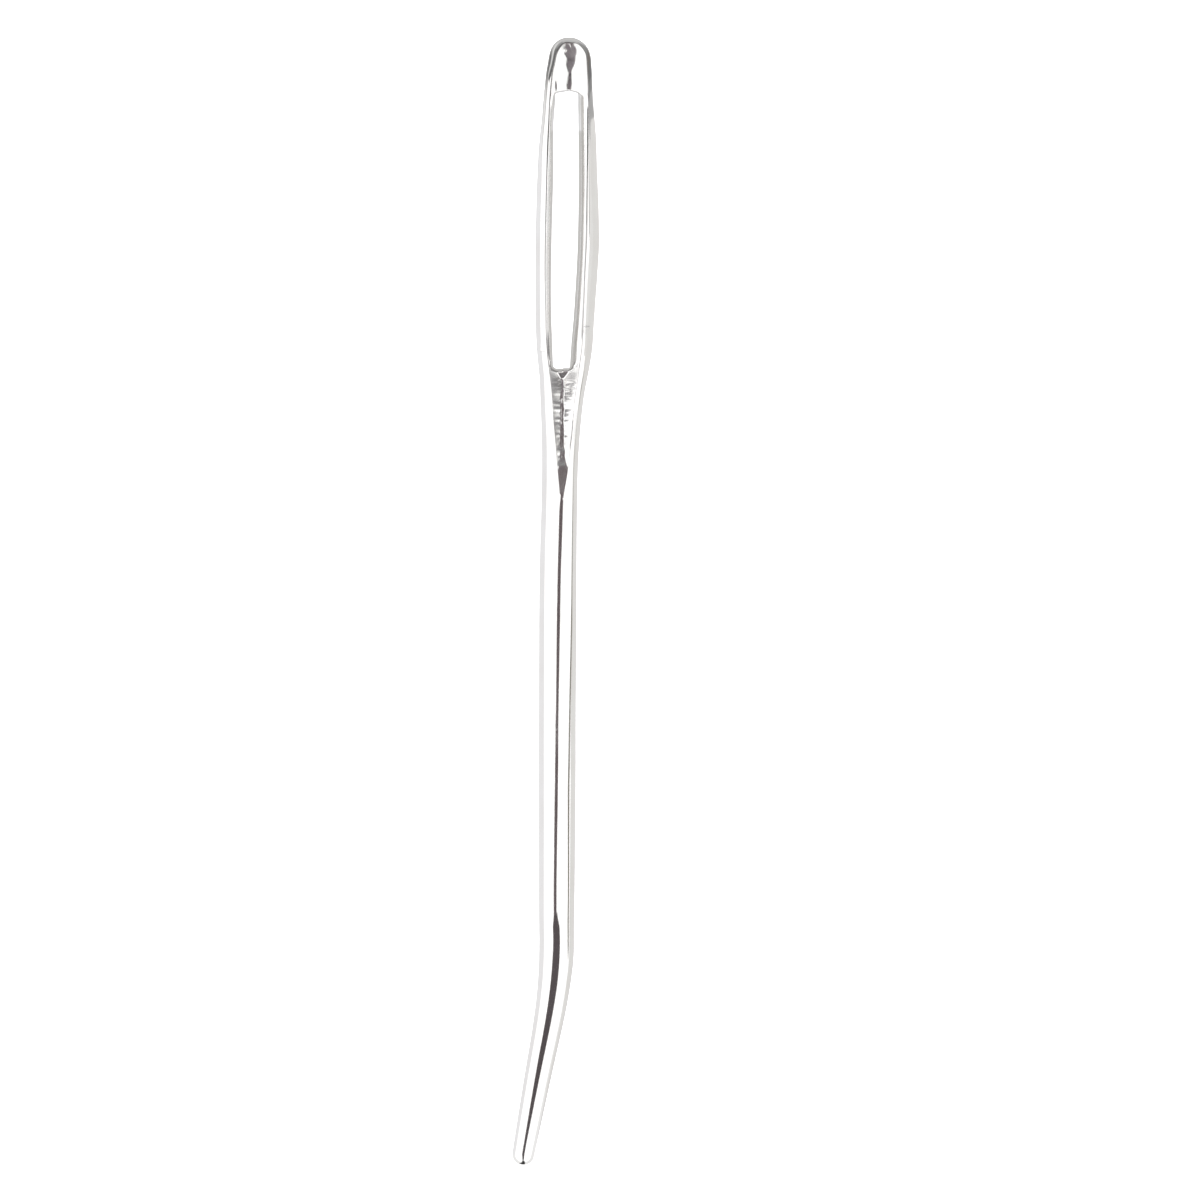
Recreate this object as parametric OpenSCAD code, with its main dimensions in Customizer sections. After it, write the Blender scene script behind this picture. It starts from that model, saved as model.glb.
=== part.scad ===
// Bent-tip yarn needle, lying flat: +Y towards the eye, +Z up from the table.
// Origin: middle of the needle's footprint, on the table.

/* [Overall] */
// Overall length along Y, from the top of the crown to the end of the tip
overall_length = 70; // [60:1:80]
// Lean of the straight shank to the right, in degrees
shank_lean = 0.3; // [0:0.1:1]

/* [Shank] */
// Diameter of the round shank at its thickest, half way along
shank_d = 2.26; // [1.8:0.02:2.8]
// Diameter where the shank meets the gutter neck
shank_top_d = 2.16; // [1.7:0.02:2.4]
// Diameter where the shank meets the bend
shank_low_d = 2.08; // [1.7:0.02:2.4]

/* [Head] */
// Width of the head at its widest, across the eye
head_w = 3.86; // [3.2:0.02:4.6]
// Thickness of the flattened head
head_t = 2.04; // [1.6:0.02:2.2]
// Sideways offset of the head's middle from the shank's axis
head_offset = 0.48; // [0:0.02:0.8]
// Radius of the crown's outline
crown_r = 1.33; // [1.1:0.01:1.5]
// Width of the rim that is left around the gutter in the crown
crown_rim = 0.36; // [0.25:0.01:0.5]

/* [Eye] */
// Distance from the top of the crown to the top of the eye
crown_l = 3.35; // [3:0.05:4]
// Length of the eye
eye_l = 17.15; // [14:0.05:19]
// Width of the eye at its widest
eye_w = 1.82; // [1.4:0.02:2]
// Width of the eye at its lower end
eye_low_w = 1.2; // [0.8:0.02:1.3]
// Sideways offset of the eye from the head's middle, to the left
eye_offset = 0.14; // [0:0.01:0.2]
// Height of the punched wall of the eye, between the two bevels
web_t = 0.6; // [0.4:0.05:0.9]

/* [Neck] */
// Length of the stamped gutter below the eye
gutter_l = 7.8; // [6:0.1:9]
// Length of the plain round stretch between the gutter's point and the shank
neck_plain_l = 1.1; // [0.6:0.1:2]

/* [Tip] */
// Length along Y that the bend and the tip take together
tip_run = 12.7; // [10:0.1:15]
// Angle by which the tip is bent to the left of the shank, in degrees
bend_angle = 11; // [4:0.5:16]
// Radius of the bend's centre line
bend_r = 23; // [15:1:30]
// Diameter where the bend ends and the tip begins
bend_low_d = 1.76; // [1.5:0.02:2]
// Diameter of the tip just before its rounded end
tip_d = 1.36; // [1.1:0.02:1.5]

/* [Quality] */
// Points around half of a wall's outer side
arc_n = 12; // [8:2:16]
// Sides of the round sections that bend
round_n = 40; // [24:4:48]

/* [Hidden] */
metal = [0.86, 0.86, 0.87];

// Heights along Y
top_y = overall_length / 2;
eye_top = top_y - crown_l;
eye_low = eye_top - eye_l;
point_y = eye_low - gutter_l;
neck_low = point_y - neck_plain_l;
bend_top = -top_y + tip_run;
head_l = top_y - neck_low;
r_top = shank_top_d / 2;
r_low = shank_low_d / 2;
r_bend = bend_low_d / 2;
r_tip = tip_d / 2;

// How far the head has widened (0 = round wire, 1 = widest), against the
// distance from the crown's top as a share of the head's length
WIDEN = [[0.05, 0.30], [0.09, 0.40], [0.13, 0.52], [0.17, 0.65], [0.22, 0.75],
    [0.28, 0.86], [0.35, 0.93], [0.43, 1.00], [0.51, 0.92], [0.58, 0.84],
    [0.63, 0.78], [0.66, 0.69], [0.69, 0.56], [0.73, 0.39], [0.77, 0.26],
    [0.81, 0.15], [0.85, 0.07], [0.89, 0.02], [0.94, 0.00], [1.00, 0.00]];
// How far the head's middle has moved off the shank's axis, likewise
SHIFT = [[0.00, 1.00], [0.20, 0.96], [0.40, 0.96], [0.50, 0.82], [0.60, 0.66],
    [0.70, 0.50], [0.80, 0.28], [0.90, 0.10], [1.00, 0.00]];
// How far the wire has been flattened, likewise
FLATTEN = [[0.00, 1.00], [0.62, 1.00], [0.72, 0.70], [0.82, 0.30], [0.92, 0.04], [1.00, 0.00]];
// Width of the eye against the share of its length from its top
EYE = [[0.00, 0.86], [0.04, 0.95], [0.20, 0.99], [0.30, 1.00], [0.50, 0.97],
    [0.70, 0.93], [0.86, 0.80], [0.95, 0.70], [1.00, 0.66]];

function part_of(y) = (top_y - y) / head_l;
function sq(v) = v * v;
function root(v) = sqrt(max(v, 0));

// Half width, half thickness and middle of the head at height y
function arch(y, r, top) = y > top - r ? root(sq(r) - sq(y - (top - r))) : r;
function half_w_free(y) = r_top + (head_w / 2 - r_top) * lookup(part_of(y), WIDEN);
function half_w(y) = y > top_y - crown_r
    ? min(arch(y, crown_r, top_y), half_w_free(y)) : half_w_free(y);
function half_t_free(y) = r_top + (head_t / 2 - r_top) * lookup(part_of(y), FLATTEN);
function half_t(y) = y > top_y - 1
    ? half_t_free(y) * root(1 - sq((y - top_y + 1) / 1.02)) : half_t_free(y);
function mid(y) = head_offset * lookup(part_of(y), SHIFT);

// The eye: half width and middle
function eye_half(y) = let (s = (eye_top - y) / eye_l)
    s > 0.86 ? eye_w / 2 * 0.80 + (eye_low_w / 2 - eye_w / 2 * 0.80) * (s - 0.86) / 0.14
    : eye_w / 2 * lookup(s, EYE);
function eye_mid(y) = mid(y) - eye_offset;

// The ridges between the outer sides and the bevels, as shares of the half width
RIDGE_LEFT = [[0.00, 0.74], [0.25, 0.69], [0.70, 0.68], [1.00, 0.62]];
RIDGE_RIGHT = [[0.00, 0.86], [0.15, 0.76], [0.30, 0.70], [0.50, 0.62], [1.00, 0.60]];
function ridge_left(y) = half_w(y) * lookup((eye_top - y) / eye_l, RIDGE_LEFT);
function ridge_right(y) = half_w(y) * lookup((eye_top - y) / eye_l, RIDGE_RIGHT);

// Half width of the gutter: an arch in the crown, a wedge in the neck
GUTTER = [[0.00, 1.00], [0.25, 0.75], [0.40, 0.67], [0.56, 0.54], [0.72, 0.40], [0.88, 0.26], [1.00, 0.02]];
gutter_top = top_y - crown_rim;
gutter_r = crown_r - crown_rim;
function gutter_crown(y, ridge) = y > gutter_top - 0.0005 ? 0.02
    : y > gutter_top - gutter_r ? max(arch(y, gutter_r, gutter_top), 0.02)
    : gutter_r + (ridge - gutter_r) * (gutter_top - gutter_r - y) / (gutter_top - gutter_r - eye_top);
function gutter_neck(y) = (ridge_left(eye_low) + ridge_right(eye_low)) / 2
    * max(lookup((eye_low - y) / gutter_l, GUTTER), 0.02);
function gutter_side(y) = 0.18 * min((eye_low - y) / gutter_l * 2, 1);

// Right-hand outer side of a section, from the ridge (g, t) over the edge to (g, -t)
function side(g, w, t) =
    [for (i = [0:2 * arc_n]) let (b = 90 - 90 * i / arc_n) [g + (w - g) * cos(b), t * sin(b)]];
function mirrored(p) = [for (i = [len(p) - 1:-1:0]) [-p[i][0], p[i][1]]];

// Full section with a V gutter on both faces, from the left ridge gl to the
// right ridge gr, down to z = v
function grooved(gl, gr, v, w, t) = concat([[(gr - gl) / 2, v]], side(gr, w, t),
    [[(gr - gl) / 2, -v]], mirrored(side(gl, w, t)));

// One wall of the eye: e is its inner edge, g the ridge, w the outer side
function wall(e, h, g, w, t) = concat([[e, -h], [e, h]], side(g, w, t));

// Places a section at height y, with its middle at x
function at(p, x, y) = [for (q = p) [x + q[0], y, q[1]]];

// Closed loft through rings of equal length
module loft(rings) {
    n = len(rings[0]);
    m = len(rings);
    polyhedron(points = [for (r = rings) each r],
        faces = concat(
            [[for (i = [0:n - 1]) i]],
            [for (k = [0:m - 2], i = [0:n - 1]) let (j = (i + 1) % n, a = k * n, b = a + n)
                each [[a + i, b + i, b + j], [a + i, b + j, a + j]]],
            [[for (i = [n - 1:-1:0]) (m - 1) * n + i]]),
        convexity = 6);
}

// From the shank's own axis to the frame of the needle
bend_x = bend_r * (1 - cos(bend_angle));
bend_dy = bend_r * sin(bend_angle);
tip_l = (tip_run - bend_dy - r_tip) / cos(bend_angle);
tip_x = -bend_x - tip_l * sin(bend_angle);
wide_y = top_y - 0.43 * head_l;
right_x = mid(wide_y) + head_w / 2 + wide_y * sin(shank_lean);
left_x = tip_x - r_tip - (top_y - r_tip) * sin(shank_lean);
frame_x = (right_x + left_x) / 2;
module placed() translate([-frame_x, 0, shank_d / 2]) rotate([0, 0, -shank_lean]) children();

module crown() color(metal) placed() loft(
    [for (i = [0:26]) let (y = top_y - 0.004 - (crown_l - 0.004) * (1 - cos(90 * i / 26)),
        w = max(half_w(y), 0.06), t = max(half_t(y), 0.06),
        gl = min(gutter_crown(y, ridge_left(eye_top)), w * 0.8),
        gr = min(gutter_crown(y, ridge_right(eye_top)), w * 0.88),
        v = max(t - 0.84 * (min(gl, gr) - 0.02), min(web_t / 2, t * 0.6)))
        at(grooved(gl, gr, v, w, t), mid(y), y)]);

module eye_wall_right() color(metal) placed() loft(
    [for (i = [0:30]) let (y = eye_top - eye_l * i / 30)
        at(wall(eye_half(y) - eye_offset, web_t / 2, ridge_right(y), half_w(y), half_t(y)), mid(y), y)]);

module eye_wall_left() color(metal) placed() loft(
    [for (i = [0:30]) let (y = eye_top - eye_l * i / 30)
        at(mirrored(wall(eye_half(y) + eye_offset, web_t / 2, ridge_left(y), half_w(y), half_t(y))), mid(y), y)]);

module gutter_neck() color(metal) placed() loft(
    [for (i = [0:30]) let (y = eye_low + (neck_low - eye_low) * i / 30,
        g = gutter_neck(y), o = gutter_side(y), t = half_t(y))
        at(grooved(g - o, g + o, max(t - g * 0.86, web_t / 2), half_w(y), t), mid(y), y)]);

// Straight round wire, a little thicker half way along
module shank() color(metal) placed()
    translate([0, bend_top, 0]) rotate([-90, 0, 0]) {
        l = neck_low - bend_top;
        cylinder(h = l * 0.45, r1 = r_low, r2 = shank_d / 2, $fn = 64);
        translate([0, 0, l * 0.45]) cylinder(h = l * 0.20, r = shank_d / 2, $fn = 64);
        translate([0, 0, l * 0.65]) cylinder(h = l * 0.35, r1 = shank_d / 2, r2 = r_top, $fn = 64);
    }

// Bent length, tapering from the shank to the tip
module bend() color(metal) placed() loft(
    [for (i = [0:14]) let (a = bend_angle * i / 14, r = r_low + (r_bend - r_low) * i / 14)
        [for (k = [0:round_n - 1]) let (b = -360 * k / round_n, d = r * cos(b))
            [-bend_r * (1 - cos(a)) + d * cos(a), bend_top - bend_r * sin(a) - d * sin(a), r * sin(b)]]]);

// Taper with a rounded end
module tip() color(metal) placed()
    translate([-bend_x, bend_top - bend_dy, 0]) rotate([0, 0, -bend_angle]) rotate([90, 0, 0]) {
        cylinder(h = tip_l, r1 = r_bend, r2 = r_tip, $fn = 64);
        translate([0, 0, tip_l]) sphere(r = r_tip, $fn = 64);
    }

crown();
eye_wall_left();
eye_wall_right();
gutter_neck();
shank();
bend();
tip();
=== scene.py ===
import math
import bpy
import numpy as np
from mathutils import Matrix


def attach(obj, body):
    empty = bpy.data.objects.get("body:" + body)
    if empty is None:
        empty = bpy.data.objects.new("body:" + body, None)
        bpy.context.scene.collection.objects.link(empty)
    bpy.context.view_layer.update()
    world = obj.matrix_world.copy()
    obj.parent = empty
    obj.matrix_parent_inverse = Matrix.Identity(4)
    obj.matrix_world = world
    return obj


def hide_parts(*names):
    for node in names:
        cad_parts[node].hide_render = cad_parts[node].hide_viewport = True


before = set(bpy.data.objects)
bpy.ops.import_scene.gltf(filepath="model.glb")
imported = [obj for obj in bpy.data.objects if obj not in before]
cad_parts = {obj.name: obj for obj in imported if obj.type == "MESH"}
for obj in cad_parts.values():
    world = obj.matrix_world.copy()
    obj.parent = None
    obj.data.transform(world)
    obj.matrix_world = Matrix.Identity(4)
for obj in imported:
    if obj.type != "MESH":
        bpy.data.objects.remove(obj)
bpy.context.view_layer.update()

MM = 0.001
LENGTH = 70.0          # crown's top to the end of the tip, along Y
MID = 1.138            # height of the needle's middle plane above the table
rng = np.random.default_rng(11)

# ---------------------------------------------------------------- curves

def smooth_curve(*stations):
    """Natural cubic through (t, value) stations."""
    x = np.array(stations[0::2], float)
    y = np.array(stations[1::2], float)
    n = len(x)
    h = np.diff(x)
    a = np.eye(n)
    b = np.zeros(n)
    for i in range(1, n - 1):
        a[i, i - 1], a[i, i], a[i, i + 1] = h[i - 1], 2 * (h[i - 1] + h[i]), h[i]
        b[i] = 6 * ((y[i + 1] - y[i]) / h[i] - (y[i] - y[i - 1]) / h[i - 1])
    m = np.linalg.solve(a, b)

    def f(q):
        q = np.clip(np.asarray(q, float), x[0], x[-1])
        k = np.clip(np.searchsorted(x, q) - 1, 0, n - 2)
        u, hh = q - x[k], h[k]
        slope = (y[k + 1] - y[k]) / hh - hh * (2 * m[k] + m[k + 1]) / 6
        return y[k] + slope * u + m[k] / 2 * u * u + (m[k + 1] - m[k]) / (6 * hh) * u ** 3
    return f


def steady_curve(*stations):
    """Curve through (t, value) stations that doesn't overshoot."""
    x = np.array(stations[0::2], float)
    y = np.array(stations[1::2], float)
    h = np.diff(x)
    d = np.diff(y) / h
    m = np.zeros(len(x))
    m[0], m[-1] = d[0], d[-1]
    for i in range(1, len(x) - 1):
        if d[i - 1] * d[i] > 0:
            w1, w2 = 2 * h[i] + h[i - 1], h[i] + 2 * h[i - 1]
            m[i] = (w1 + w2) / (w1 / d[i - 1] + w2 / d[i])

    def f(q):
        q = np.clip(np.asarray(q, float), x[0], x[-1])
        k = np.clip(np.searchsorted(x, q) - 1, 0, len(x) - 2)
        s = (q - x[k]) / h[k]
        return ((1 + 2 * s) * (1 - s) ** 2 * y[k] + s * (1 - s) ** 2 * h[k] * m[k]
                + s * s * (3 - 2 * s) * y[k + 1] + s * s * (s - 1) * h[k] * m[k + 1])
    return f


def step(v, lo, hi):
    s = np.clip((np.asarray(v, float) - lo) / (hi - lo), 0, 1)
    return s * s * (3 - 2 * s)


def wave(seed, pitch, span=80.0):
    """Smooth random curve along t, about -1..1, with the given pitch in mm."""
    r = np.random.default_rng(seed)
    n = int(span / pitch) + 4
    v = r.uniform(-1, 1, n)

    def f(t):
        q = np.asarray(t, float) / pitch + 1
        k = np.clip(q.astype(int), 0, n - 2)
        s = q - k
        s = s * s * (3 - 2 * s)
        return v[k] * (1 - s) + v[k + 1] * s
    return f


# ---------------------------------------------------------------- stations
# t runs from the crown's top (0) to the end of the tip (70), x across, in mm.

ARC_X, ARC_T = 0.84, 1.31        # middle of the crown's arc
LEFT = smooth_curve(1.31, -0.505, 2, -0.630, 3, -0.745, 4, -0.835, 5, -0.920, 6, -1.035, 8, -1.175, 10, -1.250, 12, -1.295,
    14, -1.317, 16, -1.310, 18, -1.290, 19, -1.250, 20, -1.170, 21, -1.070, 22, -1.025, 23, -0.990, 24, -0.950,
    25, -0.922, 26, -0.910, 27, -0.911, 28, -0.924, 30, -0.972, 32, -1.032, 35, -1.080, 38, -1.094, 42, -1.103,
    46, -1.106, 50, -1.103, 53, -1.100, 55, -1.090, 56, -1.075)

RIGHT = smooth_curve(1.31, 2.145, 2, 2.200, 3, 2.240, 4, 2.295, 5, 2.375, 6, 2.455, 8, 2.525, 10, 2.605, 12, 2.655,
    13, 2.650, 14, 2.590, 15, 2.525, 16, 2.450, 17, 2.380, 18, 2.315, 19, 2.255, 20, 2.125, 21, 1.945,
    22, 1.750, 23, 1.615, 24, 1.510, 25, 1.430, 26, 1.367, 27, 1.327, 28, 1.305, 30, 1.277, 32, 1.260,
    35, 1.243, 38, 1.231, 42, 1.205, 46, 1.198, 50, 1.162, 53, 1.135, 55, 1.101, 56, 1.099)

MIDDLE = smooth_curve(54, 0.002, 55, 0.005, 56, 0.008, 57, -0.008, 58, -0.078, 59, -0.186, 60, -0.326, 61, -0.492, 62, -0.678,
    63, -0.874, 64, -1.070, 66, -1.452, 68, -1.826, 70, -2.190)

HALF = smooth_curve(54, 1.101, 56, 1.088, 57, 1.084, 58, 1.054, 59, 1.018, 60, 0.984, 61, 0.951, 62, 0.919, 64, 0.862,
    66, 0.807, 68, 0.747, 69, 0.714, 70, 0.682)

ARC_LEFT = smooth_curve(0, 1.375, 20, 1.40, 45, 1.39, 60, 1.36, 75, 1.335, 90, 1.345)
ARC_RIGHT = smooth_curve(0, 1.375, 20, 1.355, 36, 1.33, 50, 1.325, 70, 1.30, 90, 1.31)
RIM_LEFT = smooth_curve(0, 1.0, 20, 1.03, 35, .97, 48, .92, 65, .885, 90, .88)
RIM_RIGHT = smooth_curve(0, 1.0, 20, 1.035, 36, 1.035, 50, 1.02, 70, 1.03, 90, 1.03)

RIDGE_L = smooth_curve(1.31, -.04, 2, -.20, 3, -.33, 3.9, -.395, 5.4, -.45, 7.4, -.535, 9.4, -.603, 11.3, -.64, 13, -.672,
    15.6, -.668, 17, -.628, 18.6, -.60, 19.4, -.545, 20.2, -.475, 21, -.39, 22.5, -.255, 23.8, -.18, 25, -.065,
    26.2, .03, 27.3, .12, 28.0, .20, 28.6, .30)
RIDGE_R = smooth_curve(1.31, 1.87, 2, 1.92, 3, 1.975, 3.9, 2.005, 5.4, 1.995, 7.4, 1.972, 9.4, 1.925, 11.3, 1.905, 12.4, 1.882,
    14, 1.80, 16, 1.725, 17.8, 1.64, 19.3, 1.545, 20.3, 1.41, 21, 1.335, 22.5, 1.13, 23.8, 1.045, 25, .93,
    26.2, .775, 27.3, .64, 28.0, .50, 28.6, .36)
EYE_L = smooth_curve(3.4, -.06, 4, -.09, 5.4, -.185, 7, -.205, 9, -.21, 11, -.265, 13, -.31, 17.5, -.315, 18.8, -.27, 19.8, -.235, 20.5, -.20)
EYE_R = smooth_curve(3.4, 1.34, 5, 1.35, 8, 1.38, 10, 1.37, 12, 1.33, 14, 1.262, 15.8, 1.16, 17.5, 1.045, 18.8, .93, 19.8, .865, 20.5, .82)
CENTRE = smooth_curve(.4, .87, 1.0, .93, 1.5, .965, 2.0, .905, 2.6, .845, 3.4, .76)
CENTRE_NECK = smooth_curve(20.4, .40, 21, .365, 22, .35, 24, .335, 26, .34, 27.6, .34, 28.6, .30, 29.6, .215, 31, .165, 33, .13, 35.5, .109)

THICK = steady_curve(0, .92, .8, .945, 1.8, .975, 3, 1.005, 6, 1.02, 18, 1.03, 20, 1.045, 22, 1.075, 24, 1.105, 26, 1.12, 28.6, 1.119)
CROWN_SLOPE = .34                   # slope of the crown's gutter walls
CROWN_FLOOR = steady_curve(.31, .014, .40, .042, .50, .069, .71, .110, .96, .165, 1.21, .222, 1.46, .238, 1.71, .264, 1.96, .310, 2.2, .334, 2.45, .333, 2.83, .335, 3.2, .358, 3.6, .380)
NECK_DEPTH = steady_curve(20.4, .58, 20.8, .64, 21.2, .62, 21.7, .54, 22.2, .48, 23.5, .40, 25, .295, 25.85, .175, 26.35, .075, 26.68, .02, 27.0, .005, 28.6, 0)
LIP_FLOOR = steady_curve(20.4, .34, 20.71, .43, 21.09, .61, 21.5, .86, 21.7, 1.1)
FLAT_NECK = steady_curve(20.4, .12, 21.6, .13, 22.4, .175, 25.2, .175, 26.0, .22, 26.5, .30, 28.6, .30)
POWER_R = steady_curve(0, 1.5, 3.4, 1.45, 14, 1.38, 19, 1.55, 23, 1.95, 25, 2.0)
POWER_L = steady_curve(0, 1.6, 1.6, 1.8, 2.6, 2.5, 6, 2.5, 9, 2.05, 25, 2.0)
ROUND_BACK = steady_curve(0, 0, 19.6, 0, 20.6, .30, 22.2, .85, 23.2, 1.0, 29, 1.0)   # 0: the ridge tops the section, 1: the wire's own round tops it

EYE_TOP, EYE_LOW = 3.43, 20.44
T_BEND, T_TIP = 56.0, 69.33

# ---------------------------------------------------------------- columns
NA, NB, NC = 16, 8, 15                      # outer side, ridge to eye's edge, eye's edge to middle
NJ = NA + NB + NC
JB = NA + NB

def corner(r, k):
    """Set-back of a rounded corner of radius r at distance k from it."""
    k = np.clip(k, 0, r)
    return r - np.sqrt(np.maximum(r * r - (r - k) ** 2, 0))

rows = []      # each: dict(kind, t, P0, PL, PR, ...)

# Outline and ridge of the crown as one line each, from the left side over the top to the right
def arc_point(side, a, r):
    return (ARC_X + side * r * math.sin(math.radians(a)), ARC_T - r * math.cos(math.radians(a)))

down = (3.2, 2.8, 2.4, 2.0, 1.65)
angles = (84, 70, 56, 42, 28, 14)
line_o = [(float(LEFT(t)), t) for t in down] + [arc_point(-1, a, float(ARC_LEFT(a))) for a in angles] + \
    [arc_point(1, 0, 1.375)] + [arc_point(1, a, float(ARC_RIGHT(a))) for a in angles[::-1]] + [(float(RIGHT(t)), t) for t in down[::-1]]
line_r = [(float(RIDGE_L(t)), t) for t in down] + [arc_point(-1, a, float(RIM_LEFT(a))) for a in angles] + \
    [arc_point(1, 0, 1.0)] + [arc_point(1, a, float(RIM_RIGHT(a))) for a in angles[::-1]] + [(float(RIDGE_R(t)), t) for t in down[::-1]]
knots = np.concatenate([[0], np.cumsum([math.dist(line_o[k], line_o[k + 1]) for k in range(len(line_o) - 1)])])

def through(points, c):
    return smooth_curve(*[v for k, p in zip(knots, points) for v in (k, p[c])])

OX, OT, RX, RT = through(line_o, 0), through(line_o, 1), through(line_r, 0), through(line_r, 1)
K_TOP = len(down) + len(angles)
FAN_T = 2.4
K_LEFT, K_RIGHT = down.index(FAN_T), len(line_o) - 1 - down.index(FAN_T)
NF = 40
for k in range(NF + 1):
    f = k / NF
    ts = .56 + .34 * f + (FAN_T - .56 - .34) * f * f
    sides = []
    for kend in (K_LEFT, K_RIGHT):
        q = knots[K_TOP] + (knots[kend] - knots[K_TOP]) * f
        sides.append(dict(end=(float(OX(q)), float(OT(q))), ridge=(float(RX(q)), float(RT(q)))))
    rows.append(dict(kind="fan", f=f, t=ts, p0=(float(CENTRE(ts)), ts), side=sides))

def straight(kind, t):
    rows.append(dict(kind=kind, t=float(t)))

for t in np.arange(FAN_T + .052, EYE_TOP - .14, .052):
    straight("crown", t)
for d in (.11, .085, .064, .046, .031, .019, .010, .004, .001):
    straight("crown", EYE_TOP - d)
I_EYE0 = len(rows)
straight("edge", EYE_TOP)
for t in np.concatenate([EYE_TOP + np.array([.02, .045, .075, .11, .15, .2, .26, .33, .42, .52]),
                         np.linspace(EYE_TOP + .65, EYE_LOW - .95, 98),
                         EYE_LOW - np.array([.8, .67, .56, .46, .38, .31, .25, .20, .155, .115, .08, .05, .025])]):
    straight("eye", t)
I_EYE1 = len(rows)
straight("edge", EYE_LOW)
for d in (.002, .008, .018, .032, .05, .072, .098, .128, .162, .2):
    straight("neck", EYE_LOW + d)
for t in np.arange(EYE_LOW + .245, 28.75, .047):
    straight("neck", t)
for t in np.concatenate([np.arange(28.8, 31, .2), np.arange(31, 54.6, .55), np.arange(54.6, T_BEND, .25)]):
    straight("shank", t)

# Bend and tip: rows at right angles to the middle line
def mid_line(t):
    t = np.asarray(t, float)
    e = .02
    slope = (MIDDLE(t + e) - MIDDLE(t - e)) / (2 * e)
    return MIDDLE(t), slope

for t in np.concatenate([np.arange(T_BEND, 62.6, .17), np.arange(62.6, T_TIP, .36)]):
    x, m = mid_line(t)
    x, m = float(x), float(m)
    if t < 56.8:
        x = float((LEFT(t) + RIGHT(t)) / 2) if t < 56 else x
    n = 1 / math.hypot(1, m)
    w = float(HALF(t)) * n
    rows.append(dict(kind="round", t=float(t), p0=(x, float(t)), normal=(n, -m * n), w=w))
xe, me = (float(v) for v in mid_line(T_TIP))
ne = 1 / math.hypot(1, me)
w_end = float(HALF(T_TIP)) * ne
along = (me * ne, ne)            # unit direction towards the tip, as (x, t)
NE = 16
END_R = .655                     # reach of the rounded end beyond the last full section
SPINE = .30                      # the fan's stations lie on the last stretch of the middle line
for k in range(1, NE + 1):
    b = math.radians(90.0 * k / NE)
    q = SPINE * k / NE
    p0 = (xe + along[0] * q, T_TIP + along[1] * q)
    rows.append(dict(kind="end", t=T_TIP + q, p0=p0, b=b))

NR = len(rows)

# ---------------------------------------------------------------- section heights
chatter_l = wave(3, .21); chatter_l2 = wave(4, .11); chatter_r = wave(5, .15); chatter_s = wave(12, .45)
wander = wave(6, .42); wander2 = wave(7, .16)
ragged = wave(31, .17); uneven_l = wave(8, 1.3); uneven_r = wave(9, 1.1); uneven_o = wave(10, 2.6)

def wall_slope(depth, reach, floor):
    return depth / (reach - 4 * min(floor, .8 * reach) / 5)

def groove(u, reach, depth, floor):
    """Depth below the ridges at distance u from the gutter's line: straight walls, and a rounded floor out to the given distance."""
    floor = min(floor, .8 * reach)
    return wall_slope(depth, reach, floor) * (reach - np.where(u < floor, u ** 5 / (5 * floor ** 4) + 4 * floor / 5, u))

def capped(depth, floor, blend):
    """Depth held at the floor's, with a rounded change between the two."""
    def low(d):
        return .5 * (d + floor) - .5 * np.sqrt((d - floor) ** 2 + blend ** 2)
    return low(depth) - low(0 * depth)

def outer(x, a, top, p, q):
    """Height at distance x outwards from the apex, a is the apex's distance from the outline."""
    return top * np.maximum(1 - np.clip(np.abs(x) / a, 0, 1) ** p, 0) ** (1 / q)

PX = np.zeros((2, NR, NJ + 1)); PT = np.zeros_like(PX); PZ = np.zeros_like(PX); MARK = np.zeros_like(PX)

LIP_SLOPE = [wall_slope(float(NECK_DEPTH(EYE_LOW)), abs(float(r(EYE_LOW)) - float(CENTRE_NECK(EYE_LOW))), float(FLAT_NECK(EYE_LOW))) for r in (RIDGE_L, RIDGE_R)]

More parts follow.
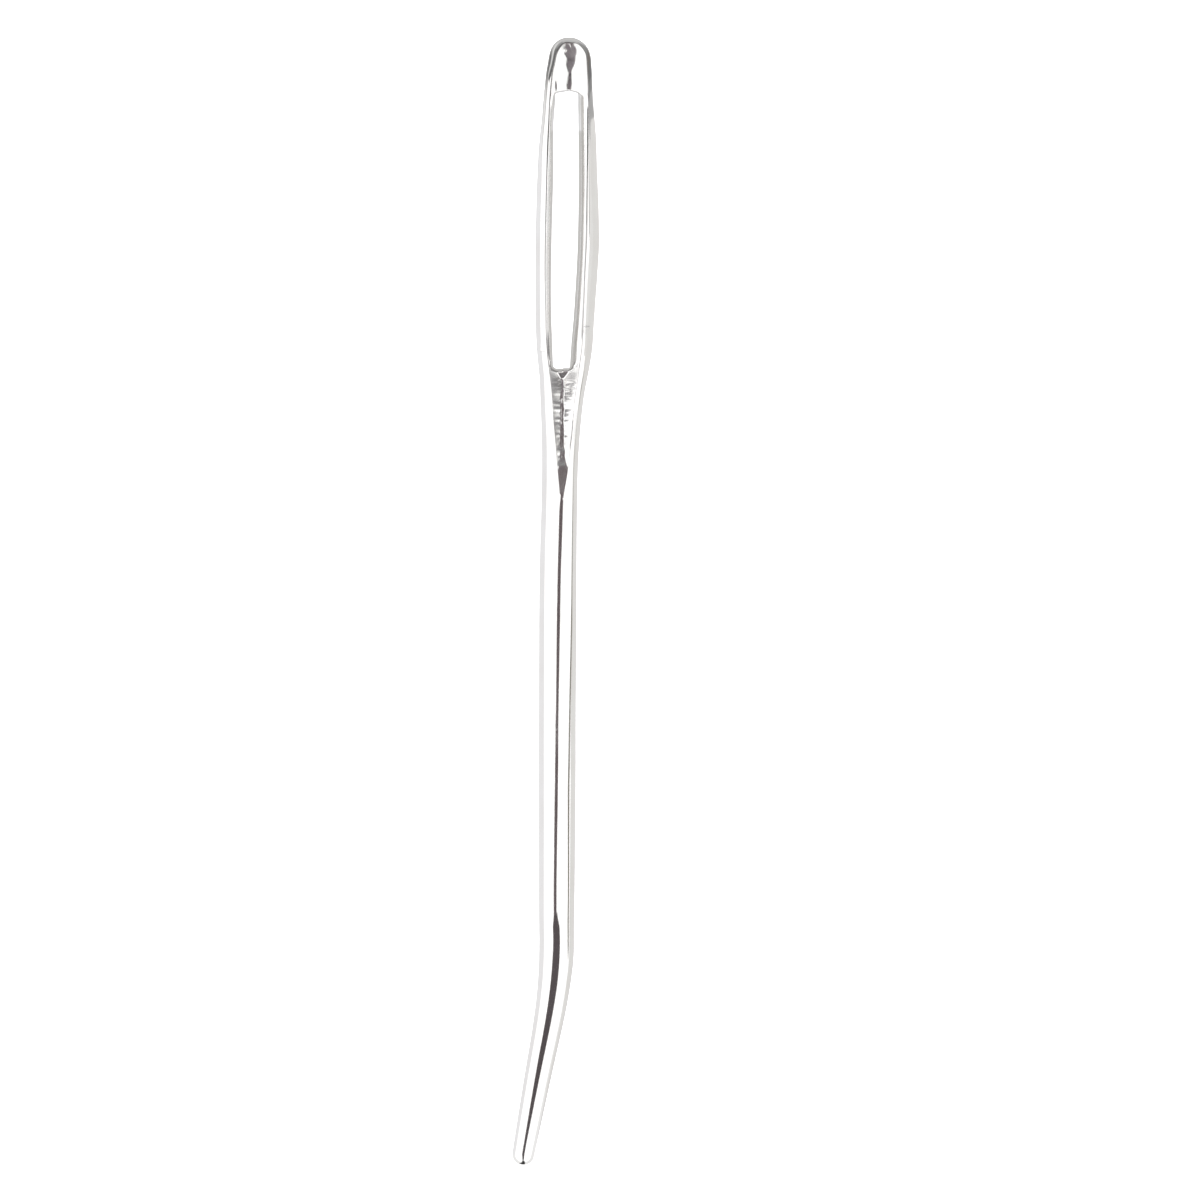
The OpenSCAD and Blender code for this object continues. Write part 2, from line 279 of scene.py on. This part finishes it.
for i, row in enumerate(rows):
    kind = row["kind"]
    t = row["t"]
    upper = t < 10
    if kind in ("fan", "round", "end"):
        p0 = row["p0"]
    else:
        cx = float(CENTRE(t)) if t <= EYE_TOP else float(CENTRE_NECK(t)) if t >= EYE_LOW else float((EYE_L(t) + EYE_R(t)) / 2)
        if t > 35:
            cx = float((LEFT(t) + RIGHT(t)) / 2)
        if 21.0 < t < 28.4:
            cx += (.026 * float(wander(t)) + .016 * float(wander2(t))) * float(step(t, 21, 21.4)) * float(1 - step(t, 27.0, 28.2))
        p0 = (cx, t)
    if kind in ("crown", "fan"):
        p0 = (p0[0] + .015 * float(wander(t * 1.2)) * float(step(t, 1.0, 1.6)) * float(1 - step(t, 3.1, 3.4)), p0[1])
    back = float(ROUND_BACK(t)) if kind != "fan" else 0.0
    for s in (0, 1):
        sign = -1 if s == 0 else 1
        P0 = np.array(p0)
        # --- outline and ridge of this row
        if kind == "fan":
            O, R = np.array(row["side"][s]["end"]), np.array(row["side"][s]["ridge"])
        elif kind == "round":
            O = P0 + sign * np.array(row["normal"]) * row["w"]
            R = P0 + (O - P0) * .06
        elif kind == "end":
            cb, sb = math.cos(row["b"]), math.sin(row["b"])
            O = np.array([xe + sign * ne * w_end * cb + along[0] * END_R * sb,
                          T_TIP - sign * me * ne * w_end * cb + along[1] * END_R * sb])
            R = P0 + (O - P0) * .06
        else:
            O = np.array([float(LEFT(t) if s == 0 else RIGHT(t)), t])
            if kind == "shank":
                R = P0 + (O - P0) * .06
            else:
                rx = float(RIDGE_L(t) if s == 0 else RIDGE_R(t))
                R = np.array([min(rx, P0[0] - .06) if s == 0 else max(rx, P0[0] + .06), t])
        ax, ur = float(np.hypot(*(O - R))), float(np.hypot(*(R - P0)))
        # --- where the eye's edge lies, as a distance from the middle
        if kind in ("eye", "edge"):
            rc = .24 if (s == 0 and not upper) else .10
            k = t - EYE_TOP + .293 * rc if upper else EYE_LOW + .293 * rc - t
            ub = abs(float(EYE_L(t) if s == 0 else EYE_R(t)) - p0[0]) - float(corner(rc, k))
        elif kind in ("fan", "crown"):
            edge_ub = abs(float(EYE_L(EYE_TOP) if s == 0 else EYE_R(EYE_TOP)) - float(CENTRE(3.4))) - .029
            ub = ur * .6 + (edge_ub - ur * .6) * float(step(t, 2.3, EYE_TOP))
        elif kind == "neck":
            edge_ub = abs(float(EYE_L(EYE_LOW) if s == 0 else EYE_R(EYE_LOW)) - p0[0]) - (.07 if s == 0 else .029)
            ub = edge_ub + (ur * .55 - edge_ub) * float(step(t, EYE_LOW, 22.4))
        else:
            ub = ur * .55
        ub = min(ub, ur * .9)
        # --- columns on the outer side
        p = float(POWER_L(t) if s == 0 else POWER_R(t))
        q = 1 + (p - 1) * .95 if p < 2 else p ** .9 * 1.07
        turn = np.linspace(0, 1, NA + 1) * math.pi / 2
        xa = ax * np.cos(turn) ** (2 / p)                     # distance outwards from the ridge
        xa[-1] = 0
        top = float(THICK(t if kind != "fan" else t * row["f"]))
        if back > 0 and kind in ("neck", "edge", "eye", "shank"):
            xm, wm = float((LEFT(t) + RIGHT(t)) / 2), float((RIGHT(t) - LEFT(t)) / 2)
            if t > 28.6:
                top = wm
            rel = float(np.clip(sign * (R[0] - xm) / wm, -1, 1))
            close = 1 + (.5 * float(1 - step(t, 27, 28.6)) if kind == "neck" else 0)      # columns closer to the sharp ridge
            xb = wm * np.cos((1 - (1 - np.linspace(0, 1, NA + 1)) ** close) * math.acos(rel)) - wm * rel
            xa = xa * (1 - back) + xb * back
            xa[0], xa[-1] = ax, 0
        z_out = outer(xa, ax, top, p, q)
        if back > 0 and kind in ("neck", "edge", "eye", "shank"):
            z_out = z_out * (1 - back) + back * top * np.sqrt(np.maximum(1 - ((R[0] + sign * xa - xm) / wm) ** 2, 0))
        z_out[0] = 0
        zr = z_out[-1]
        # --- columns inside the ridge
        if kind in ("eye", "edge"):
            u_b = ub + (ur - ub) * (1 - np.sin(np.linspace(0, 1, NB + 1)[1:] * math.pi / 2))
        else:
            u_b = ur + (ub - ur) * np.linspace(0, 1, NB + 1)[1:] ** (1.4 if kind == "neck" else 1)
        ui = np.concatenate([u_b, ub * (1 - np.linspace(0, 1, NC + 1)[1:])])
        x = np.concatenate([R[0] + (O - R)[0] * xa / ax, P0[0] + (R - P0)[0] * ui / ur])
        tt = np.concatenate([R[1] + (O - R)[1] * xa / ax, P0[1] + (R - P0)[1] * ui / ur])
        # --- rows bend to follow the eye's ends
        u = np.concatenate([ur + xa, ui])
        te = np.full(NJ + 1, EYE_TOP if upper else EYE_LOW)
        if kind in ("fan", "crown", "edge", "neck"):
            rc = .10 if (upper or s == 1) else .24
            frac = np.clip(u / ub, 0, 1)
            if upper:
                span = abs(float(EYE_L(EYE_TOP) if s == 0 else EYE_R(EYE_TOP)) - float(CENTRE(3.4)))
                lift = (.13 if s == 0 else .15) * (1 - frac)
            else:
                span = abs(float(EYE_L(EYE_LOW) if s == 0 else EYE_R(EYE_LOW)) - p0[0])
                lift = 0
            xs = (span - .293 * rc) * frac
            bulge = .293 * rc - corner(rc, span - xs)
            te = np.where(frac < 1, EYE_TOP - lift - bulge if upper else EYE_LOW + bulge, te)
            if kind != "fan":
                weight = float(step(t, 2.45, EYE_TOP)) if upper else float(1 - step(t, EYE_LOW, EYE_LOW + .9))
                tt = tt + weight * np.where(frac < 1, te - (EYE_TOP if upper else EYE_LOW), 0)
        # --- heights
        z = np.zeros(NJ + 1)
        z[:NA + 1] = z_out
        base = np.full(NB + NC, zr)
        if back > 0 and kind in ("neck", "edge", "eye", "shank"):
            base = (1 - back) * top + back * top * np.sqrt(np.maximum(1 - ((x[NA + 1:] - xm) / wm) ** 2, 0))
            if kind == "neck" and t > 25.6:
                xl, xr = float(RIDGE_L(t)), float(RIDGE_R(t))
                hl, hr = (top * math.sqrt(1 - ((v - xm) / wm) ** 2) for v in (xl, xr))
                facet = hl + (hr - hl) * (x[NA + 1:] - xl) / (xr - xl)
                base = base + (facet - base) * float(step(t, 25.6, 26.4))
        mark = np.zeros(NJ + 1)
        if kind in ("fan", "crown") or (kind == "edge" and upper):
            z[NA + 1:] = base - capped(CROWN_SLOPE * (ur - ui), CROWN_FLOOR(tt[NA + 1:]) + (.0035 if s == 0 else .0015) * ragged(tt[NA + 1:] + .7 * x[NA + 1:]), .018)
            mark[NA:] = 1
        elif kind in ("neck", "edge"):
            z[NA + 1:] = base - capped(groove(ui, ur, float(NECK_DEPTH(t)), float(FLAT_NECK(t))), LIP_FLOOR(tt[NA + 1:]), .012)
            mark[NA:] = 1 - float(step(t, 28.0, 28.7))
        elif kind == "eye":
            own = .52 if s == 1 else .86
            w0, w1 = float(1 - step(t, EYE_TOP, EYE_TOP + (.6 if s == 1 else 1.0))), float(step(t, EYE_LOW - 1.5, EYE_LOW))
            slope = own * (1 - w0 - w1) + w0 * CROWN_SLOPE + w1 * LIP_SLOPE[s]
            z[NA + 1:] = base - slope * (ur - ui)
            mark[NA:] = .5
        elif kind == "shank":
            z[NA + 1:] = base
        elif kind == "round":
            z = outer(u, row["w"], row["w"], 2.0, 2.0)
        else:
            lx, lt = x - xe, tt - T_TIP
            la = lx * along[0] + lt * along[1]
            lc = lx * ne - lt * me * ne
            z = w_end * np.sqrt(np.maximum(1 - (lc / w_end) ** 2 - (np.maximum(la, 0) / END_R) ** 2, 0))
        z[0] = 0
        # --- rounding towards the eye's rim
        if kind in ("crown", "edge", "neck", "eye"):
            du = np.maximum(u - ub, 0)
            gap = (te - tt) if upper else (tt - te)
            d = du if kind in ("edge", "eye") else np.hypot(du, np.maximum(gap, 0))
            narrow = .075 if upper else .25
            rho = narrow
            if kind == "eye":
                full = min(ur - ub, .40 if s == 1 else .14)
                near = float(step(t, EYE_TOP, EYE_TOP + .22)) if upper else float(1 - step(t, EYE_LOW - .5, EYE_LOW))
                rho = narrow + (full - narrow) * near
            steep = 2.0 - .45 * (float(step(t, EYE_TOP, EYE_TOP + .3)) * float(1 - step(t, EYE_LOW - .3, EYE_LOW)) if kind == "eye" else 0)
            e = np.clip(1 - (1 - np.clip(d / rho, 0, 1)) ** steep, 0, 1) ** (1 / steep)
            z[NA + 1:] *= e[NA + 1:]
        PX[s, i], PT[s, i], PZ[s, i], MARK[s, i] = x, tt, z, mark

# ---------------------------------------------------------------- stamped roughness, as real relief
# Chatter across the neck's gutter, small dents in the crown, uneven walls.
for s in (0, 1):
    for i, row in enumerate(rows):
        t = PT[s, i]; x = PX[s, i]
        if row["kind"] == "neck" and row["t"] > 20.7:
            tr = row["t"]
            cx = PX[s, i, NJ]
            ur = abs(PX[s, i, NA] - cx)
            v = np.clip(np.abs(x - cx) / max(ur, .02), 0, 1)
            inside = np.zeros(NJ + 1); inside[NA + 1:] = 1
            env = float(step(tr, 21.0, 21.8) if s == 1 else step(tr, 21.5, 22.6)) * float(1 - step(tr, 26.2, 27.2))
            wall = step(v, 0, .12) * (1 - step(v, .80, 1.0))
            tw = t + .10 * np.abs(x - cx)
            if s == 0:
                h = .0050 * chatter_l(tw + .2 * v) + .0026 * chatter_l2(tw + 2 * x) + .0010 * np.sin(tw * 2 * math.pi / .36 + 4 * uneven_l(tw))
                h = h * (1.35 - 1.0 * v)
            else:
                fade = 1 - float(step(tr, 22.6, 24.2)) * .8
                h = (.005 * chatter_r(tw + .25 * x) + .004 * chatter_l2(tw * 1.1 - .3 * x)) * fade
            PZ[s, i] += inside * env * (wall * .9 + .25) * h
        if row["kind"] in ("crown", "fan"):
            # dent beside the eye's upper left corner
            inside = np.zeros(NJ + 1); inside[NA + 2:] = 1
            if s == 0 and 2.5 < row["t"] < 3.35:
                g = inside * np.exp(-((x + .03) / .10) ** 4 - ((t - 2.98) / .29) ** 4) * np.clip(1 + .6 * chatter_l(3 * t + x), 0, 1)
                level = np.interp(-.03, x[NA:], PZ[s, i, NA:])
                PZ[s, i] += g * (level - PZ[s, i])
            a, b = .51 * (x - .50) - .86 * (t - .88), .86 * (x - .50) + .51 * (t - .88)
            if s == 0:
                PZ[s, i] -= inside * .024 * np.exp(-((a / .17) ** 2 + (b / .05) ** 2))

mottle_a, mottle_b, mottle_c = wave(21, .22), wave(22, .34), wave(23, .5)
for i, row in enumerate(rows):
    if row["kind"] in ("crown", "eye") and 2.6 < row["t"] < 9.5:
        t = PT[1, i, :NA + 1]; v = np.linspace(0, 1, NA + 1)
        env = float(step(row["t"], 2.8, 4.0)) * float(1 - step(row["t"], 6.5, 9.0)) * np.sin(v * math.pi) ** 2
        PZ[1, i, :NA + 1] += env * (.0035 * mottle_a(t + v * .5) * mottle_b(t - v * .9) + .0025 * mottle_c(t + 2.1 * v))

PZ *= .975          # the section stays within the wire's thickness

# the middle column is one line, shared by both halves
for i in range(NR):
    for a in (PX, PT, PZ):
        m = (a[0, i, NJ] + a[1, i, NJ]) / 2
        a[0, i, NJ] = a[1, i, NJ] = m
# first and last row: left and right halves coincide
for i in (0, NR - 1):
    for a in (PX, PT, PZ):
        m = (a[0, i] + a[1, i]) / 2
        a[0, i] = a[1, i] = m

# ---------------------------------------------------------------- one closed mesh
verts, marks, index = [], [], {}

def vertex(i, s, j, face):
    border = j == 0 or (j == JB and I_EYE0 <= i <= I_EYE1) or (j > JB and i in (I_EYE0, I_EYE1))
    side = 2 if (j == NJ or i in (0, NR - 1)) else s
    key = (i, side, j, 2 if border else face)
    if key not in index:
        z = 0.0 if border else float(PZ[s, i, j]) * (1 if face == 0 else -1)
        verts.append((PX[s, i, j] * MM, (LENGTH / 2 - PT[s, i, j]) * MM, (MID + z) * MM))
        marks.append(float(MARK[s, i, j]))
        index[key] = len(verts) - 1
    return index[key]

faces = []
for i in range(NR - 1):
    hole = I_EYE0 <= i < I_EYE1
    for s in (0, 1):
        for j in range(NJ):
            if hole and j >= JB:
                break
            for face in (0, 1):
                q = [vertex(i, s, j, face), vertex(i, s, j + 1, face), vertex(i + 1, s, j + 1, face), vertex(i + 1, s, j, face)]
                q2 = []
                for v in q:
                    if v not in q2:
                        q2.append(v)
                if len(q2) < 3:
                    continue
                if (s == 0) != (face == 0):
                    q2.reverse()
                faces.append(q2)

mesh = bpy.data.meshes.new("needle_body")
mesh.from_pydata(verts, [], faces)
mesh.validate()
attribute = mesh.attributes.new("gutter", "FLOAT", "POINT")
attribute.data.foreach_set("value", np.array(marks, np.float32))
mesh.polygons.foreach_set("use_smooth", np.ones(len(mesh.polygons), bool))
import bmesh
bm = bmesh.new(); bm.from_mesh(mesh)
bmesh.ops.recalc_face_normals(bm, faces=bm.faces)
bm.to_mesh(mesh); bm.free()
mesh.update()
needle = bpy.data.objects.new("needle_body", mesh)
bpy.context.scene.collection.objects.link(needle)

# ---------------------------------------------------------------- material: bright nickel
def node_tool(mat):
    mat.use_nodes = True
    tree = mat.node_tree
    tree.nodes.clear()
    def add(kind, **inputs):
        n = tree.nodes.new(kind)
        for k, v in inputs.items():
            n.inputs[k].default_value = v
        return n
    return tree, add

nickel = bpy.data.materials.new("nickel_plate")
tree, add = node_tool(nickel)
link = tree.links.new
out = add("ShaderNodeOutputMaterial")
bsdf = add("ShaderNodeBsdfPrincipled", Metallic=1.0)
link(bsdf.outputs[0], out.inputs[0])
place = add("ShaderNodeTexCoord")
# lengthwise polishing marks
stretch = add("ShaderNodeMapping"); stretch.inputs["Scale"].default_value = (9000, 260, 9000)
link(place.outputs["Object"], stretch.inputs["Vector"])
hair = add("ShaderNodeTexNoise", Scale=1.0, Detail=3.0, Roughness=.6)
link(stretch.outputs[0], hair.inputs["Vector"])
# fine pits and plating grain
grain = add("ShaderNodeTexNoise", Scale=9000.0, Detail=2.0)
link(place.outputs["Object"], grain.inputs["Vector"])
# broad unevenness of the finish
broad = add("ShaderNodeTexNoise", Scale=420.0, Detail=2.0)
link(place.outputs["Object"], broad.inputs["Vector"])
mark = tree.nodes.new("ShaderNodeAttribute"); mark.attribute_name = "gutter"
rough = add("ShaderNodeMapRange"); rough.inputs["To Min"].default_value = .045; rough.inputs["To Max"].default_value = .11
link(broad.outputs[0], rough.inputs["Value"])
rough_hair = add("ShaderNodeMapRange"); rough_hair.inputs["To Min"].default_value = -.01; rough_hair.inputs["To Max"].default_value = .03
link(hair.outputs[0], rough_hair.inputs["Value"])
rough_mark = add("ShaderNodeMapRange"); rough_mark.inputs["To Max"].default_value = .10
link(mark.outputs["Fac"], rough_mark.inputs["Value"])
s1 = tree.nodes.new("ShaderNodeMath"); link(rough.outputs[0], s1.inputs[0]); link(rough_hair.outputs[0], s1.inputs[1])
s2 = tree.nodes.new("ShaderNodeMath"); link(s1.outputs[0], s2.inputs[0]); link(rough_mark.outputs[0], s2.inputs[1])
link(s2.outputs[0], bsdf.inputs["Roughness"])
tint = tree.nodes.new("ShaderNodeValToRGB")
tint.color_ramp.elements[0].position = .3; tint.color_ramp.elements[0].color = (.86, .845, .83, 1)
tint.color_ramp.elements[1].position = .7; tint.color_ramp.elements[1].color = (.90, .895, .885, 1)
link(broad.outputs[0], tint.inputs[0])
link(tint.outputs[0], bsdf.inputs["Base Color"])
bump1 = add("ShaderNodeBump", Strength=.10, Distance=.000004)
link(hair.outputs[0], bump1.inputs["Height"])
bump2 = add("ShaderNodeBump", Strength=.12, Distance=.000003)
link(grain.outputs[0], bump2.inputs["Height"]); link(bump1.outputs[0], bump2.inputs["Normal"])
link(bump2.outputs[0], bsdf.inputs["Normal"])
mesh.materials.append(nickel)

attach(needle, "root")
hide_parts("crown", "eye_wall_left", "eye_wall_right", "gutter_neck", "shank", "bend", "tip")

# ---------------------------------------------------------------- studio
def plane_mesh(name, corners, faces_):
    m = bpy.data.meshes.new(name)
    m.from_pydata([tuple(c * MM for c in v) for v in corners], [], faces_)
    o = bpy.data.objects.new(name, m)
    bpy.context.scene.collection.objects.link(o)
    return o

def matte(name, colour):
    m = bpy.data.materials.new(name)
    tr, ad = node_tool(m)
    o = ad("ShaderNodeOutputMaterial"); b = ad("ShaderNodeBsdfPrincipled", Roughness=.9)
    b.inputs["Base Color"].default_value = (*colour, 1)
    tr.links.new(b.outputs[0], o.inputs[0])
    return m

def glow(name, level):
    m = bpy.data.materials.new(name)
    tr, ad = node_tool(m)
    o = ad("ShaderNodeOutputMaterial"); b = ad("ShaderNodeEmission", Strength=1.0)
    b.inputs["Color"].default_value = (*level, 1)
    tr.links.new(b.outputs[0], o.inputs[0])
    return m

floor = plane_mesh("floor", [(-900, -900, -.02), (900, -900, -.02), (900, 900, -.02), (-900, 900, -.02)], [(0, 1, 2, 3)])
paper = matte("white_table", (.95, .95, .95))
paper.node_tree.nodes["Principled BSDF"].inputs["Emission Color"].default_value = (1, 1, 1, 1)
paper.node_tree.nodes["Principled BSDF"].inputs["Emission Strength"].default_value = .95
floor.data.materials.append(paper)
floor.visible_glossy = False
floor.visible_diffuse = False

def card(name, corners, faces_, levels):
    """A card that is seen only in reflections: one level of light for each face."""
    o = plane_mesh(name, corners, faces_)
    if not isinstance(levels, list):
        levels = [levels] * len(faces_)
    for k, level in enumerate(levels):
        level = level if isinstance(level, tuple) else (level,) * 3
        o.data.materials.append(glow(f"{name}_{k}", level))
        o.data.polygons[k].material_index = k
    o.visible_camera = False
    o.visible_diffuse = False
    o.visible_shadow = False
    o.visible_transmission = False
    o.visible_volume_scatter = False
    return o

def grid_card(name, place_, xs, zs, levels):
    """A card divided in cells: place_(x, z) gives the corner, levels[row of z][column of x] the light."""
    v = [place_(x, z) for z in zs for x in xs]
    n = len(xs)
    f = [(r * n + c, r * n + c + 1, (r + 1) * n + c + 1, (r + 1) * n + c) for r in range(len(zs) - 1) for c in range(n - 1)]
    return card(name, v, f, [levels[r][c] for r in range(len(zs) - 1) for c in range(n - 1)])

# table as the metal reflects it: lighter on the left, darker beyond the crown; the cell along the needle (x -4.5 to 5,
# level .74) is painted shade, the needle's own shadow on the table
TABLE = -5
grid_card("table_and_painted_shade_seen", lambda x, y: (x, y, TABLE), (-900, -10.5, -4.5, 5, 900), (-900, -34.6, 30.6, 32.2, 33.0, 34.3, 36.4, 38.5, 900),
    [[.95, .95, .95, .93],
     [(.90, .90, .915), (.90, .90, .915), (.74, .74, .75), (.80, .795, .78)],
     [.86, .86, .64, .44],
     [.86, .80, .50, .28],
     [.60, .40, .40, .19],
     [.32, .19, .44, (.20, .185, .17)],
     [.62, .50, .55, .26],
     [.86, .74, .62, .30]])
# the table under the eye lies in the needle's own shade
grid_card("table_under_eye", lambda x, y: (x, y, -.03), (-.6, 1.9), (14.2, 29.3), [[(.60, .595, .585)]])
# light grey low on the right, which the left strand of the eye shows
grid_card("low_right", lambda y, z: (60, y, z), (8, 31), (TABLE, 17), [[(.84, .84, .83)]])

def ribbon(name, stations, level):
    """stations: (y, middle x, half width, z)"""
    v, f = [], []
    for y, x, h, z in stations:
        v += [(x - h, y, z), (x + h, y, z)]
    for k in range(len(stations) - 1):
        f.append((2 * k, 2 * k + 1, 2 * k + 3, 2 * k + 2))
    return card(name, v, f, level)

H = 30
ribbon("slot_beyond_crown", [(60, 1.5, 8, H), (40, 1.5, 7, H), (34.3, 1.5, 6, H)], (.09, .08, .085))
ribbon("slot_overhead_crown", [(34.3, 1.5, 6, H), (20, 1.6, 4.9, H)], (.19, .165, .18))
ribbon("slot_overhead", [(20, 1.6, 4.9, H), (19.0, 1.9, 4.9, H), (18.6, 6.0, 8.5, H), (12.2, 7.5, 9.0, H), (7.1, 9.2, 6.0, H), (6.4, 6.7, 6.2, H), (3, 4.5, 5.2, H), (-12, -2.7, 5.1, H), (-18.4, -5.4, 4.6, H), (-22.5, -4.2, 4.6, H)], (.14, .115, .12))
# the flat where the gutter ends is dark up to its edges, so this card is low
ribbon("slot_wedge", [(10.4, 2.3, 1.4, MID + 6), (8.4, 2.3, 1.4, MID + 6), (7.2, 2.0, 1.2, MID + 6), (6.6, 1.7, 1.05, MID + 6)], (.16, .135, .14))
# the wide dark part of the bend begins abruptly, so this card is low
ribbon("slot_bend", [(-19.5, -.5, .9, MID + 6), (-19.8, -.5, 1.4, MID + 6), (-20.4, -.25, 2.15, MID + 6), (-21.05, 0, 2.2, MID + 6), (-23.5, -.15, 2.2, MID + 6), (-25, -.4, 2.2, MID + 6)], (.105, .09, .095))
ribbon("slot_overhead_tip", [(-22.5, -2.0, 10.6, H), (-25.8, -1.4, 12.4, H), (-28.4, -1.2, 12.5, H), (-30.9, -1.6, 10.6, H),
    (-33.3, -2.0, 8.6, H), (-38, -2.4, 6, H), (-60, -2.6, 5, H), (-110, -4, 6, H)], (.10, .087, .092))
ribbon("table_beyond_tip", [(-42, -3.4, 2.2, -4.9), (-60, -3, 6, -4.9), (-125, -3, 20, -4.9)], .05)
card("spot_beyond_tip", [(-18, -125, -4), (14, -125, -4), (14, -125, 34), (-18, -125, 34)], [(0, 1, 2, 3)], .06)
# dark cloth beyond the crown, lighter low down in the middle
grid_card("cloth_back", lambda x, z: (x, 45, z), (-72, -16, -5, 8, 20, 190), (TABLE, 4, 9, 62),
    [[.24, .36, .55, .36, .20], [.20, .22, .30, .22, .17], [.17, .17, .10, .15, .15]])
# grey side of the room, far to the right
card("room_right", [(600, 24, TABLE), (600, 600, TABLE), (600, 600, 280), (600, 24, 280)], [(0, 1, 2, 3)], .52)
# upright cards across the needle, which only the stamped walls under the eye see: each is dark towards them, with a white back
def gate(name, outline, faces_, levels, back):
    card(name, outline, faces_, levels)
    if back:
        card(name + "_back", [(x, y + back, z) for x, y, z in outline], faces_, 1.32)

gate("gate_low", [(-2.7, -8, 13), (1.4, -8, 13), (3.8, -8, 33), (-7.7, -8, 33)], [(0, 1, 2, 3)], (.065, .055, .06), -.05)
gate("gate_left", [(-24, 15.2, 0), (-7, 15.2, 0), (-7, 15.2, 5.5), (-24, 15.2, 5.5), (-7, 15.2, 18), (-24, 15.2, 18)], [(0, 1, 2, 3), (3, 2, 4, 5)], [(.45, .44, .45), (.20, .19, .20)], .05)
gate("gate_right", [(6, 17, 0), (50, 17, 0), (50, 17, 33), (6, 17, 29), (130, 17, 0), (130, 17, 70)], [(0, 1, 2, 3), (1, 4, 5, 2)], [(.24, .235, .24), (.60, .60, .58)], None)
# this one's back continues the light grey low on the right
card("gate_right_back", [(6, 17.05, 0), (60, 17.05, 0), (60, 17.05, 17.5), (6, 17.05, 3.4), (60, 17.05, 36), (6, 17.05, 29), (130, 17.05, 0), (130, 17.05, 70)],
    [(0, 1, 2, 3), (3, 2, 4, 5), (1, 6, 7, 4)], [(.84, .84, .83), 1.32, 1.32])
# what the left strand's ridge sees on its inner side
grid_card("over_left_ridge", lambda x, y: (x, y, H), (6.6, 16), (20, 25, 33.2), [[.35], [.12]])
# small card close above the eye, which darkens the strands' ridges
grid_card("over_eye", lambda x, y: (x, y, MID + 3.2), (-.25, 1.3), (16.5, 20, 23.5, 27, 30.8), [[.70], [.50], [.25], [.10]])
# thin dark edge on the right
def strip_right(x, stations, level):
    """Narrow dark edge standing along the right: stations (y, middle z, half height)"""
    v, f = [], []
    for y, z, h in stations:
        v += [(x, y, z - h), (x, y, z + h)]
    for k in range(len(stations) - 1):
        f.append((2 * k, 2 * k + 1, 2 * k + 3, 2 * k + 2))
    return card("edge_right", v, f, level)

strip_right(40, [(9, -6, 1.5), (5, -4.5, 3), (0, -2.6, 4), (-6.2, 5.4, 4), (-12.4, 13.3, 5), (-18.8, 9.5, 4), (-23.0, 8.0, 3.5), (-27, 7, 1)], (.25, .235, .21))

world = bpy.data.worlds.new("studio")
bpy.context.scene.world = world
world.use_nodes = True
world.node_tree.nodes["Background"].inputs["Color"].default_value = (1, 1, 1, 1)
world.node_tree.nodes["Background"].inputs["Strength"].default_value = 1.32

# ---------------------------------------------------------------- camera
camera = bpy.data.cameras.new("camera")
camera.lens = 400
camera.sensor_width = 36
camera.clip_start = .01
camera.clip_end = 20
camera.dof.use_dof = False
cam = bpy.data.objects.new("camera", camera)
WIDE = 74.53
cam.location = (2.70 * MM, .12 * MM, (MID + WIDE * camera.lens / 36) * MM)
cam.rotation_euler = (0, 0, 0)
bpy.context.scene.collection.objects.link(cam)
bpy.context.scene.camera = cam
bpy.context.scene.view_settings.view_transform = "Standard"
bpy.context.scene.view_settings.look = "None"
